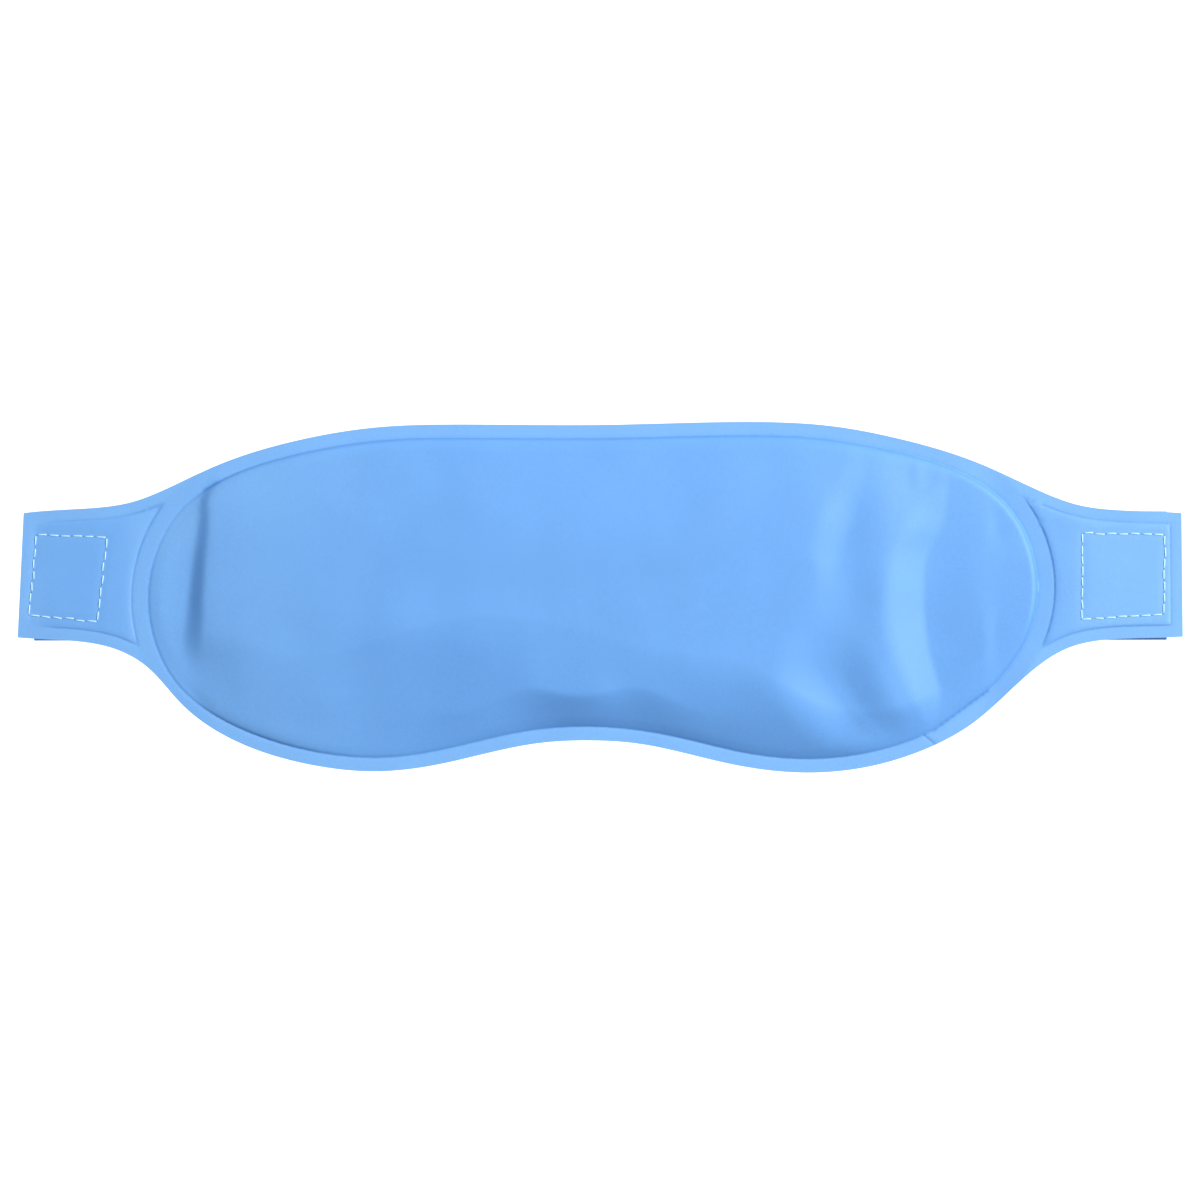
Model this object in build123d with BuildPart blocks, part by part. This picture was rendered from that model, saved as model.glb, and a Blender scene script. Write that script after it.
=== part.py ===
from build123d import *
import os
from math import atan2, cos, degrees, dist, radians, sin

# A gel eye pillow: two fabric-faced films welded round a gel pocket, a flat tab at each end,
# and an elastic strap that lies behind it and fastens to the tabs with hook and loop pads.
# The front faces +Z, the brow edge is +Y, the nose notch is -Y, and the strap's underside is Z = 0.
# All sizes are in millimetres.

# ---- Driving dimensions ----
FILM = 0.5  # one cover: woven nylon bonded to a weldable film
SEAL_W = 3.2  # welded edge round the gel pocket
CROWN_H = 7.5  # how far the front of the pocket stands above the welded seam
CROWN_R = 6.0
BELLY_R = 1.5
CLEARANCE = 0.3  # free air between pieces that move apart
GEL_CLEARANCE = 0.1
GROOVE_CLEARANCE = 0.1  # round each stitch, in the groove it is sunk into

STRAP_W = 30.8
STRAP_T = 1.2
STRAP_Y = 5.15  # centre line of the strap and of the tabs
STRAP_LEFT_X = -133.9
STRAP_RIGHT_X = 134.0
STRAP_HINGE_X = -114.0  # where the strap leaves its left fastener

LOOP_L, LOOP_W = 21.0, 22.5  # loop pad sewn behind a tab
HOOK_L, HOOK_W = 19.0, 21.5  # hook pad sewn to a strap end
PAD_T = 1.0
PAD_CORNER_R = 1.5
LEFT_LOOP_X, RIGHT_LOOP_X = -125.1, 123.4
LEFT_HOOK_X, RIGHT_HOOK_X = -124.1, 124.0
PAD_Y = 4.7

THREAD_T = 0.3
THREAD_W = 0.55
STITCH_L = 2.0
STITCH_PITCH = 2.7
HOOK_STITCH_INSET = 1.6

LEFT_HINGE_X = -108.7  # where a tab meets the gel pack
RIGHT_HINGE_X = 105.3

# ---- Heights, from the table up ----
HOOK_Z = STRAP_T
LOOP_Z = HOOK_Z + PAD_T + CLEARANCE
BACK_Z = LOOP_Z + PAD_T
SEAM_Z = BACK_Z + FILM
FRONT_Z = SEAM_Z + FILM
BELLY_Z = STRAP_T + CLEARANCE

# ---- Outline of the whole pillow: its two long edges, from the left end to the right ----
BROW_EDGE = [
    (-136.1, 19.9),
    (-121.0, 21.0),
    (-110.5, 22.5),
    (-102.0, 25.8),
    (-90.8, 31.0),
    (-70.8, 37.2),
    (-52.0, 40.2),
    (-35.0, 40.8),
    (0.0, 40.7),
    (36.8, 41.4),
    (54.0, 40.5),
    (70.7, 37.4),
    (90.0, 31.4),
    (104.7, 24.7),
    (112.5, 21.9),
    (122.0, 20.6),
    (137.2, 19.9),
]
NOSE_EDGE = [
    (-137.5, -9.5),
    (-124.7, -10.3),
    (-114.0, -12.4),
    (-107.0, -16.4),
    (-99.2, -24.8),
    (-82.2, -35.6),
    (-68.0, -39.6),
    (-53.9, -41.1),
    (-40.0, -39.8),
    (-14.2, -34.4),
    (-2.9, -33.8),
    (8.5, -34.5),
    (30.0, -39.2),
    (50.0, -41.4),
    (65.1, -39.6),
    (76.4, -36.0),
    (87.7, -29.9),
    (101.9, -17.4),
    (110.4, -12.0),
    (121.0, -9.9),
    (137.5, -9.3),
]
# The pocket follows the long edges between these fractions of their length
EDGE_START, EDGE_END, EDGE_POINTS = 0.21, 0.79, 11
# and each of its ends is one arc, from the brow round to the nose side on the right
RIGHT_END_CENTRE, RIGHT_END_R, RIGHT_END_ANGLES = (73.5, 2.4), 29.7, (40, 20, 0, -20, -38)
LEFT_END_CENTRE, LEFT_END_R, LEFT_END_ANGLES = (-74.0, -0.5), 32.7, (216, 198, 180, 160, 142)
BEYOND = 60.0  # clear of the outline on every side

# Corners of each sewn square, in order round it
LEFT_SEWN = [(-133.1, 14.7), (-116.4, 14.2), (-118.7, -5.8), (-134.8, -4.2)]
RIGHT_SEWN = [(113.8, 15.1), (133.2, 14.8), (133.0, -4.1), (113.6, -5.2)]

os.makedirs("parts", exist_ok=True)


def write(piece, label):
    """Labels one finished piece and saves it under its node name."""
    piece.part.label = label
    export_step(piece.part, f"parts/{label}.step")


def stitch_spots(corners):
    """Where the stitches of a sewn square lie, evenly spaced along its four sides."""
    spots = []
    for start, end in zip(corners, corners[1:] + corners[:1]):
        count = round(dist(start, end) / STITCH_PITCH)
        turn = degrees(atan2(end[1] - start[1], end[0] - start[0]))
        for index in range(count):
            along = (index + 0.5) / count
            x = start[0] + along * (end[0] - start[0])
            y = start[1] + along * (end[1] - start[1])
            spots.append(Location((x, y, 0), (0, 0, turn)))
    return spots


def square_inside(centre_x, length, width):
    """Corners of a square of stitches set in from the edge of a hook pad."""
    x = length / 2 - HOOK_STITCH_INSET
    y = width / 2 - HOOK_STITCH_INSET
    return [
        (centre_x - x, PAD_Y + y),
        (centre_x + x, PAD_Y + y),
        (centre_x + x, PAD_Y - y),
        (centre_x - x, PAD_Y - y),
    ]


LEFT_SPOTS = stitch_spots(LEFT_SEWN)
RIGHT_SPOTS = stitch_spots(RIGHT_SEWN)
LEFT_HOOK_SPOTS = stitch_spots(square_inside(LEFT_HOOK_X, HOOK_L, HOOK_W))
RIGHT_HOOK_SPOTS = stitch_spots(square_inside(RIGHT_HOOK_X, HOOK_L, HOOK_W))


# ---- Shared outlines ----
with BuildSketch() as pillow_outline:
    with BuildLine():
        brow = Spline(*BROW_EDGE)
        nose = Spline(*NOSE_EDGE)
        Line(brow @ 0, nose @ 0)
        Line(brow @ 1, nose @ 1)
    make_face()

# The gel pack stops short of each hinge, and the rounded edge of the tab fills the hinge
with BuildSketch() as pack_outline:
    add(pillow_outline.sketch)
    edge_gap = FILM + CLEARANCE
    pack_left = LEFT_HINGE_X + edge_gap
    pack_right = RIGHT_HINGE_X - edge_gap
    with Locations(((pack_left + pack_right) / 2, 0)):
        Rectangle(pack_right - pack_left, 2 * BEYOND, mode=Mode.INTERSECT)

with BuildSketch() as left_tab_outline:
    add(pillow_outline.sketch)
    with Locations((LEFT_HINGE_X + FILM - BEYOND, 0)):
        Rectangle(2 * BEYOND, 2 * BEYOND, mode=Mode.INTERSECT)

with BuildSketch() as right_tab_outline:
    add(pillow_outline.sketch)
    with Locations((RIGHT_HINGE_X - FILM + BEYOND, 0)):
        Rectangle(2 * BEYOND, 2 * BEYOND, mode=Mode.INTERSECT)


# ---- Gel pack: two covers and the gel between them ----
def along_edge(edge, side, inset):
    """Points at an even spacing along the middle of a long edge, the given distance inside it."""
    points = []
    for index in range(EDGE_POINTS):
        where = EDGE_START + (EDGE_END - EDGE_START) * index / (EDGE_POINTS - 1)
        tangent = edge.tangent_at(where)
        points.append(edge.position_at(where) + Vector(-tangent.Y, tangent.X) * side * inset)
    return points


def round_end(centre, radius, angles):
    """Points round one end of the pocket."""
    return [
        Vector(centre[0] + radius * cos(radians(angle)), centre[1] + radius * sin(radians(angle)))
        for angle in angles
    ]


def pocket_solid(inset):
    """The pocket's shape, set in by the given distance on every side."""
    brow_side = along_edge(brow, -1, SEAL_W + inset)
    nose_side = along_edge(nose, 1, SEAL_W + inset)
    right_end = round_end(RIGHT_END_CENTRE, RIGHT_END_R - inset, RIGHT_END_ANGLES)
    left_end = round_end(LEFT_END_CENTRE, LEFT_END_R - inset, LEFT_END_ANGLES)
    with BuildPart() as pocket:
        with BuildSketch(Plane.XY.offset(SEAM_Z)) as section:
            with BuildLine():
                Spline(*brow_side, *right_end, *reversed(nose_side), *left_end, periodic=True)
            make_face()
        extrude(amount=FILM + CROWN_H - inset)
        crown = pocket.faces().sort_by(Axis.Z)[-1]
        fillet(crown.edges(), CROWN_R - inset)
        extrude(section.sketch, amount=-(SEAM_Z - BELLY_Z - inset))
        belly = pocket.faces().sort_by(Axis.Z)[0]
        fillet(belly.edges(), BELLY_R - inset)
    return pocket.part


pocket_outside = pocket_solid(0.0)
pocket_inside = pocket_solid(FILM)

with BuildPart() as front_cover:
    with BuildSketch(Plane.XY.offset(SEAM_Z)):
        add(pack_outline.sketch)
    extrude(amount=FILM)
    add(pocket_outside)
    split(bisect_by=Plane.XY.offset(SEAM_Z), keep=Keep.TOP)
    add(pocket_inside, mode=Mode.SUBTRACT)
write(front_cover, "front_cover")

with BuildPart() as back_cover:
    with BuildSketch(Plane.XY.offset(SEAM_Z)):
        add(pack_outline.sketch)
    extrude(amount=-FILM)
    add(pocket_outside)
    split(bisect_by=Plane.XY.offset(SEAM_Z), keep=Keep.BOTTOM)
    add(pocket_inside, mode=Mode.SUBTRACT)
write(back_cover, "back_cover")

with BuildPart() as gel_fill:
    add(pocket_solid(FILM + GEL_CLEARANCE))
write(gel_fill, "gel_fill")


# ---- Tabs: the same two films, welded flat, with a rounded edge on the hinge axis ----
def tab_layer(outline, up, hinge_end, label):
    """One film of a tab, above or below the seam; hinge_end picks its right or left edge."""
    with BuildPart() as layer:
        with BuildSketch(Plane.XY.offset(SEAM_Z)):
            add(outline.sketch)
        extrude(amount=up * FILM)
        hinge_edges = layer.edges().filter_by(Axis.Y).group_by(Axis.X)[hinge_end]
        outer = hinge_edges.sort_by(Axis.Z)[-1 if up > 0 else 0]
        fillet(outer, 0.95 * FILM)
    write(layer, label)


tab_layer(left_tab_outline, 1, -1, "left_tab_front")
tab_layer(left_tab_outline, -1, -1, "left_tab_back")
tab_layer(right_tab_outline, 1, 0, "right_tab_front")
tab_layer(right_tab_outline, -1, 0, "right_tab_back")


# ---- Hook and loop pads, each with a groove under every stitch ----
def pad(centre_x, length, width, base_z, spots, groove_z, groove_depth, label):
    """A rounded pad whose stitches are sunk into the face at groove_z."""
    with BuildPart() as piece:
        with BuildSketch(Plane.XY.offset(base_z)):
            with Locations((centre_x, PAD_Y)):
                RectangleRounded(length, width, PAD_CORNER_R)
        extrude(amount=PAD_T)
        with BuildSketch(Plane.XY.offset(groove_z)):
            with Locations(*spots):
                SlotOverall(STITCH_L + GROOVE_CLEARANCE, THREAD_W + GROOVE_CLEARANCE)
        extrude(amount=groove_depth, mode=Mode.SUBTRACT)
    write(piece, label)


pad(LEFT_LOOP_X, LOOP_L, LOOP_W, LOOP_Z, LEFT_SPOTS, LOOP_Z, THREAD_T, "left_loop_patch")
pad(RIGHT_LOOP_X, LOOP_L, LOOP_W, LOOP_Z, RIGHT_SPOTS, LOOP_Z, THREAD_T, "right_loop_patch")
hook_top = HOOK_Z + PAD_T
pad(LEFT_HOOK_X, HOOK_L, HOOK_W, HOOK_Z, LEFT_HOOK_SPOTS, hook_top, -THREAD_T, "left_hook_pad")
pad(RIGHT_HOOK_X, HOOK_L, HOOK_W, HOOK_Z, RIGHT_HOOK_SPOTS, hook_top, -THREAD_T, "right_hook_pad")


# ---- Stitching: the thread that shows on each face of a seam ----
def stitching(spots, top_z, bottom_z, label):
    """Two layers of stitches, on top of a seam and sunk into its underside."""
    with BuildPart() as threads:
        for base_z in (top_z, bottom_z):
            with BuildSketch(Plane.XY.offset(base_z)):
                with Locations(*spots):
                    SlotOverall(STITCH_L, THREAD_W)
            extrude(amount=THREAD_T)
    write(threads, label)


stitching(LEFT_SPOTS, FRONT_Z, LOOP_Z, "left_tab_stitching")
stitching(RIGHT_SPOTS, FRONT_Z, LOOP_Z, "right_tab_stitching")
stitching(LEFT_HOOK_SPOTS, hook_top - THREAD_T, 0.0, "left_hook_stitching")
stitching(RIGHT_HOOK_SPOTS, hook_top - THREAD_T, 0.0, "right_hook_stitching")


# ---- Strap: its left end stays on the left tab, and the rest swings away from there ----
def strap_length(left_x, right_x, spots, label):
    """A straight stretch of the elastic, grooved under the stitches of its hook pad."""
    with BuildPart() as elastic:
        with BuildSketch():
            with Locations(((left_x + right_x) / 2, STRAP_Y)):
                Rectangle(right_x - left_x, STRAP_W)
        extrude(amount=STRAP_T)
        with BuildSketch():
            with Locations(*spots):
                SlotOverall(STITCH_L + GROOVE_CLEARANCE, THREAD_W + GROOVE_CLEARANCE)
        extrude(amount=THREAD_T, mode=Mode.SUBTRACT)
    write(elastic, label)


half_gap = CLEARANCE / 2
strap_length(STRAP_LEFT_X, STRAP_HINGE_X - half_gap, LEFT_HOOK_SPOTS, "strap_left_end")
strap_length(STRAP_HINGE_X + half_gap, STRAP_RIGHT_X, RIGHT_HOOK_SPOTS, "strap_band")
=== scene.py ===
from math import pi

import bmesh
import bpy
import numpy as np
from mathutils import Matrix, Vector, noise
from mathutils.geometry import delaunay_2d_cdt
from mathutils.kdtree import KDTree


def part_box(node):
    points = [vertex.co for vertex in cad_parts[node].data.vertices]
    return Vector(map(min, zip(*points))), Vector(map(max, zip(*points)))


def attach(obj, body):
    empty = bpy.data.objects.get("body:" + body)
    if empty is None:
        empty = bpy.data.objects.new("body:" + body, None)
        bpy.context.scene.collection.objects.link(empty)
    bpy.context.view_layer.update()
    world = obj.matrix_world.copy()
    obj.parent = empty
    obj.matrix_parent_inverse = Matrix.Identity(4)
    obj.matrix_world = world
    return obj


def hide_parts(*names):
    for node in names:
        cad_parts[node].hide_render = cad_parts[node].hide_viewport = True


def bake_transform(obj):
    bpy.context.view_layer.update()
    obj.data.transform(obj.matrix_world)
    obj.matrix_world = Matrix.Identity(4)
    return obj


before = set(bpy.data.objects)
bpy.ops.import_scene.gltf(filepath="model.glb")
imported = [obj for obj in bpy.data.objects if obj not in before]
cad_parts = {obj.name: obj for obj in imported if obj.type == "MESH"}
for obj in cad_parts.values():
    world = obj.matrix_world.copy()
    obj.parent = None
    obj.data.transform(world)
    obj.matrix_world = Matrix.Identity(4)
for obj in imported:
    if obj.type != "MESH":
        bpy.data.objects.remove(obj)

# The visual model of a gel eye pillow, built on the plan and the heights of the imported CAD.
# Lengths are in millimetres until a mesh is made, and the front faces +Z.
MM = 0.001
random = np.random.default_rng(11)
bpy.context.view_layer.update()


# ---- Camera: straight above the middle of the pillow ----
FRAME_WIDTH = 283.2  # what the picture takes in, at the front face of the tabs
LENS, SENSOR = 200.0, 36.0
AIM_X, AIM_Y = -0.05, -0.64  # the point that it looks down on


# ---- Measures taken from the CAD ----
def low(node, axis):
    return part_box(node)[0][axis] / MM


def high(node, axis):
    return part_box(node)[1][axis] / MM


SEAM_Z = low("left_tab_front", 2)
FACE_Z = high("left_tab_front", 2)
FILM_T = 0.4
FILM_GAP = 0.02  # between the two films where they are welded
FRONT_Z = SEAM_Z + FILM_GAP + FILM_T
BACK_Z = SEAM_Z - FILM_GAP - FILM_T
STRAP_TOP = high("strap_band", 2)
STRAP_Y = (low("strap_band", 1) + high("strap_band", 1)) / 2
STRAP_HALF = (high("strap_band", 1) - low("strap_band", 1)) / 2
LEFT_HINGE = (high("left_tab_front", 0) + low("front_cover", 0)) / 2
RIGHT_HINGE = (high("front_cover", 0) + low("right_tab_front", 0)) / 2
STRAP_HINGE = (high("strap_left_end", 0) + low("strap_band", 0)) / 2


# ---- Small tools ----
def ease(x):
    """0 below 0, 1 above 1, and a smooth rise in between."""
    x = np.clip(x, 0, 1)
    return x * x * (3 - 2 * x)


def bell(x):
    """1 at 0, falling smoothly to 0 by about 2."""
    return np.exp(-x * x)


def curve(where, knots, column=1):
    """A smooth curve through knots, which are sorted by their first number, flat beyond its ends."""
    knots = np.array(knots, float)
    x, y = knots[:, 0], knots[:, column]
    slope = np.gradient(y, x)
    where = np.clip(where, x[0], x[-1])
    i = np.clip(np.searchsorted(x, where) - 1, 0, len(x) - 2)
    span = x[i + 1] - x[i]
    t = (where - x[i]) / span
    return (
        y[i] * (1 + 2 * t) * (1 - t) ** 2
        + y[i + 1] * t * t * (3 - 2 * t)
        + span * t * (1 - t) * (slope[i] * (1 - t) - slope[i + 1] * t)
    )


def smooth_line(points, spacing, closed=False):
    """Evenly spaced points on a smooth line through the given ones."""
    if closed:
        points = np.concatenate([points[-3:], points, points[:3]])
    along = np.concatenate([[0], np.cumsum(np.linalg.norm(np.diff(points, axis=0), axis=1))])
    start, end = (along[3], along[-3]) if closed else (0, along[-1])
    count = round((end - start) / spacing)
    where = np.linspace(start, end, count + 1)
    if closed:
        where = where[:-1]
    axes = [curve(where, np.column_stack([along, points[:, axis]])) for axis in (0, 1)]
    return np.column_stack(axes)


def ripple(points, size, seed):
    """Smooth noise between about -1 and 1, with features of the given size."""
    return np.array([noise.noise((x / size, y / size, seed)) for x, y in points])


def nearest(line, points):
    """For each point, the index of the nearest one on the line."""
    tree = KDTree(len(line))
    for index, (x, y) in enumerate(line):
        tree.insert((x, y, 0), index)
    tree.balance()
    return np.array([tree.find((x, y, 0))[1] for x, y in points])


# ---- The plan: the pillow's outline and the pocket's edge ----
def face_loops(node):
    """Closed loops round the flat front face of a node, the longest first, each from its left end."""
    bm = bmesh.new()
    bm.from_mesh(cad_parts[node].data)
    bmesh.ops.remove_doubles(bm, verts=bm.verts, dist=0.001 * MM)
    flat = [f for f in bm.faces if all(abs(v.co.z / MM - FACE_Z) < 0.01 for v in f.verts)]
    known = set(flat)
    after = {}
    for face in flat:
        for loop in face.loops:
            if sum(f in known for f in loop.edge.link_faces) == 1:
                after[loop.vert] = loop.link_loop_next.vert
    loops = []
    while after:
        vert, following = after.popitem()
        line = [vert]
        while following is not line[0]:
            line.append(following)
            following = after.pop(following)
        line = np.array([v.co[:2] for v in line]) / MM
        loops.append(np.roll(line, -line[:, 0].argmin(), axis=0))
    bm.free()
    return sorted(loops, key=lambda loop: -np.ptp(loop[:, 0]))


LINE_STEP, FINE_STEP, POCKET_STEP = 0.8, 0.3, 0.25
EDGE_REACH = 9.0  # no long edge comes this near to the middle line


def outward(line):
    """Unit vectors that point out of a closed line."""
    ahead = np.roll(line, -1, axis=0) - np.roll(line, 1, axis=0)
    ahead /= np.linalg.norm(ahead, axis=1)[:, None]
    x, y = line.T
    if (x * np.roll(y, -1) - np.roll(x, -1) * y).sum() < 0:
        ahead = -ahead
    return np.column_stack([ahead[:, 1], -ahead[:, 0]])


edges = np.concatenate([face_loops(n)[0] for n in ("left_tab_front", "front_cover", "right_tab_front")])
edges = edges[np.argsort(edges[:, 0])]
middle_line = curve(edges[:, 0], [(edges[0, 0], STRAP_Y), (0, 0), (edges[-1, 0], STRAP_Y)])
brow = smooth_line(edges[edges[:, 1] > middle_line + EDGE_REACH], LINE_STEP)
nose = smooth_line(edges[edges[:, 1] < middle_line - EDGE_REACH], LINE_STEP)
right_end = smooth_line(np.array([nose[-1], brow[-1]]), LINE_STEP)
left_end = smooth_line(np.array([brow[0], nose[0]]), LINE_STEP)
outline = np.concatenate([nose[:-1], right_end[:-1], brow[::-1][:-1], left_end[:-1]])
fine_outline = smooth_line(np.concatenate([outline, outline[:1]]), FINE_STEP)

pocket = smooth_line(face_loops("front_cover")[1], POCKET_STEP, closed=True)
pocket_out = outward(pocket)


def pocket_depth(points):
    """How far each point is inside the pocket's edge, negative outside."""
    index = nearest(pocket, points)
    return -((points - pocket[index]) * pocket_out[index]).sum(1)


def outline_depth(points):
    """How far each point is from the pillow's outline."""
    return np.linalg.norm(points - fine_outline[nearest(fine_outline, points)], axis=1)


# Width of the weld along the two long edges
WELD_W = float(np.median(outline_depth(pocket[np.abs(pocket[:, 0]) < 60])))


def line_depth(line, points):
    """How far inside the pocket each point is, counted from one long edge of the pillow."""
    return np.linalg.norm(points - line[nearest(line, points)], axis=1) - WELD_W


# ---- Stitches: where the CAD puts each one ----
def stitch_list(node):
    """Centre, direction and middle height of every stitch of a stitching node."""
    bm = bmesh.new()
    bm.from_mesh(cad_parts[node].data)
    bmesh.ops.remove_doubles(bm, verts=bm.verts, dist=0.001 * MM)
    waiting = set(bm.verts)
    stitches = []
    while waiting:
        island, found = set(), [waiting.pop()]
        while found:
            vert = found.pop()
            island.add(vert)
            for edge in vert.link_edges:
                other = edge.other_vert(vert)
                if other in waiting:
                    waiting.remove(other)
                    found.append(other)
        places = np.array(sorted(v.co[:] for v in island)) / MM
        centre = (places.max(0) + places.min(0)) / 2
        direction = np.linalg.eigh(np.cov((places[:, :2] - places[:, :2].mean(0)).T))[1][:, 1]
        stitches.append((centre[:2], direction, centre[2]))
    bm.free()
    return sorted(stitches, key=lambda s: (round(s[2], 2), round(s[0][0], 2), round(s[0][1], 2)))


STITCH_L = 2.0
tab_stitches = {side: stitch_list(f"{side}_tab_stitching") for side in ("left", "right")}
face_stitches = [s for side in tab_stitches.values() for s in side if s[2] > FACE_Z]


def stitch_distance(points):
    """Distance from each point to the nearest stitch on the front of a tab."""
    best = np.full(len(points), 99.0)
    for centre, direction, _ in face_stitches:
        offset = points - centre
        along = np.clip(offset @ direction, -STITCH_L / 2, STITCH_L / 2)
        best = np.minimum(best, np.linalg.norm(offset - along[:, None] * direction, axis=1))
    return best


# ---- Heights ----
# Folds in the front of the pocket. Each row is a place up the pillow (y), where the fold begins and
# ends along the pillow (x and x), and how far the film drops from one to the other.
BROAD_RIDGE = [
    (-34.0, 74.5, 79.0, 0.0),
    (-29.0, 75.0, 79.6, 0.9),
    (-24.2, 72.4, 80.2, 1.6),
    (-12.4, 67.0, 77.4, 2.3),
    (-0.6, 65.5, 76.2, 2.6),
    (11.2, 67.6, 77.4, 2.4),
    (15.9, 70.0, 80.0, 2.3),
    (21.5, 73.0, 81.6, 1.5),
    (25.3, 78.6, 82.0, 0.7),
    (30.0, 80.0, 82.4, 0.0),
]
RIDGE_DROP = 2.6  # where it is highest
SOFT_FOLD = [
    (-3.0, 50.0, 54.0, 0.0),
    (3.0, 50.0, 55.0, 0.15),
    (6.4, 50.0, 56.0, 0.5),
    (11.2, 48.6, 57.8, 1.0),
    (18.2, 50.7, 60.1, 1.2),
    (23.0, 51.9, 61.8, 1.2),
    (30.0, 56.6, 63.4, 0.9),
    (34.8, 57.0, 63.4, 0.6),
]
SOFT_DROP = 1.2  # where it is highest
THIN_RIDGE = [
    (-24.0, 91.4, 95.0, 0.2),
    (-19.5, 90.8, 94.8, 0.35),
    (-12.4, 90.1, 93.9, 0.35),
    (-5.4, 90.1, 93.9, 0.3),
    (0.0, 88.5, 95.0, 0.2),
    (11.0, 88.5, 95.5, 0.2),
    (14.0, 90.3, 94.4, 0.35),
    (20.0, 90.0, 94.0, 0.3),
    (25.0, 89.0, 93.0, 0.1),
]
LOBE_SIDE = [  # where the right lobe falls away towards the filling port
    (-38.0, 54.0, 71.0, 2.3),
    (-32.0, 46.0, 64.0, 2.4),
    (-26.6, 42.0, 59.0, 2.1),
    (-19.5, 40.0, 54.0, 1.6),
    (-12.4, 41.0, 51.0, 0.7),
    (-5.0, 41.0, 50.0, 0.1),
    (0.0, 41.0, 50.0, 0.0),
]
LOBE_FOOT = [  # and rises again towards the broad ridge
    (-38.0, 70.0, 77.0, -1.1),
    (-32.0, 66.0, 75.0, -1.1),
    (-26.6, 61.0, 72.0, -1.2),
    (-19.5, 55.5, 68.0, -1.1),
    (-12.4, 52.0, 64.0, -0.6),
    (-5.0, 50.0, 60.0, -0.1),
    (0.0, 50.0, 60.0, 0.0),
]
LEFT_CREASE = [  # here the film rises instead
    (-22.0, -98.2, -93.4, 0.0),
    (-16.0, -98.6, -93.6, 0.3),
    (-10.0, -98.9, -93.5, 0.95),
    (-5.4, -98.2, -93.1, 1.3),
    (-0.6, -97.7, -93.1, 1.5),
    (4.1, -97.1, -92.8, 1.5),
    (8.8, -96.5, -92.6, 1.4),
    (15.9, -95.5, -91.9, 1.35),
    (19.4, -95.1, -91.9, 1.3),
    (23.0, -94.8, -91.9, 1.25),
    (27.7, -93.6, -89.8, 0.75),
    (33.0, -91.2, -88.0, 0.25),
]
CREASE_RISE = 1.5  # where it is highest
CROWN = [  # x, height of the pocket
    (-107.0, 1.75),
    (-98.0, 2.0),
    (-92.0, 2.75),
    (-80.0, 3.6),
    (-65.0, 4.5),
    (-50.0, 5.3),
    (-35.0, 5.9),
    (0.0, 6.2),
    (50.0, 6.0),
    (58.0, 5.95),
    (67.0, 6.62),
    (76.0, 6.02),
    (90.0, 6.35),
    (104.0, 6.75),
]
NOSE_SLOPE = [  # x, width of the slope up from the nose side, and how much steeper its foot is
    (-107.0, 9.0, 1.6),
    (-92.0, 13.0, 1.4),
    (-84.0, 18.0, 1.6),
    (-76.0, 20.0, 1.5),
    (-67.0, 22.0, 1.25),
    (-58.0, 26.0, 1.15),
    (-47.0, 29.0, 1.12),
    (-35.0, 29.5, 1.12),
    (-12.0, 25.0, 1.2),
    (0.0, 22.0, 1.4),
    (9.0, 20.0, 1.55),
    (20.0, 20.0, 1.7),
    (35.0, 21.0, 1.8),
    (43.0, 18.0, 1.8),
    (52.0, 13.0, 1.6),
    (62.0, 10.0, 1.5),
    (104.0, 8.0, 1.5),
]
# Widths of the slope down to the brow side, of the rounding beside the weld and of the back's slope
BROW_SLOPE, EDGE_ROLL, BACK_SLOPE = 30.0, 2.6, 6.0
HOLLOWS = [  # and swellings: x, y, size across, size up, height
    (9.0, 31.0, 9.0, 7.0, -0.4),
    (-1.0, 12.0, 26.0, 16.0, -0.3),
    (-42.0, -9.0, 22.0, 8.0, 0.7),
    (-70.5, -30.0, 7.0, 4.0, -0.4),
    (74.9, 29.5, 1.6, 4.0, 0.35),
    (0.0, -24.0, 5.0, 3.5, 0.35),
    (-68.0, 10.0, 14.0, 20.0, 0.2),
    (-93.0, -17.0, 6.0, 6.0, -0.5),
]
PORT_SEAL = ((78.4, -31.7), (91.4, -22.2))  # where the filling hole was welded shut
PORT_SLIT = ((76.4, -32.6), (79.2, -34.8))
PORT_REACH = 8.0  # the seal cuts off part of the pocket only from this far left of its foot
TAB_RIM, TAB_GAP = 2.8, 4.0  # from the outline, and from the pocket, to a tab's flat pocket
TAB_START = 3.3  # what lies this far outside the pocket's edge belongs to a tab
STEP_H = 0.22  # the film's own short rise beside the weld
NOTCH_X, NOTCH_HALF, NOTCH_SHARE = -8.0, 25.0, 0.68  # the steep hollow above the nose
NOTCH_SLOPE, NOTCH_SWAY, NOTCH_PITCH = 8.6, 1.2, 27.0  # width of its slope, which changes along it
EMPTY_X, EMPTY_FADE = -90.0, 7.0  # left of here the gel gives out and the films lie flat together
GROOVE_HALF = 0.35  # half width of a line pressed by the welding
BELLY_Z, OVER_STRAP = 0.35, 0.15  # how near the back film comes to the table, and to the strap


def fold(points, rows, profile):
    """How much of a fold's drop lies to the left of each point, and the whole drop there."""
    x, y = points.T
    start, end, drop = (curve(y, rows, column) for column in (1, 2, 3))
    return drop * profile(np.clip((x - start) / (end - start), 0, 1)), drop


def even_rise(u):
    """A rise of even steepness, with a short curve at each end."""
    soft = 0.22
    near = np.minimum(u, 1 - u)
    part = np.where(near < soft, near * near / (2 * soft), near - soft / 2) / (1 - soft)
    return np.where(u < 0.5, part, 1 - part)


def crisp_end(u):
    """A slope that begins softly and stops short."""
    soft = 0.4
    return np.where(u < soft, u * u / (2 * soft), u - soft / 2) / (1 - soft / 2)


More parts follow.
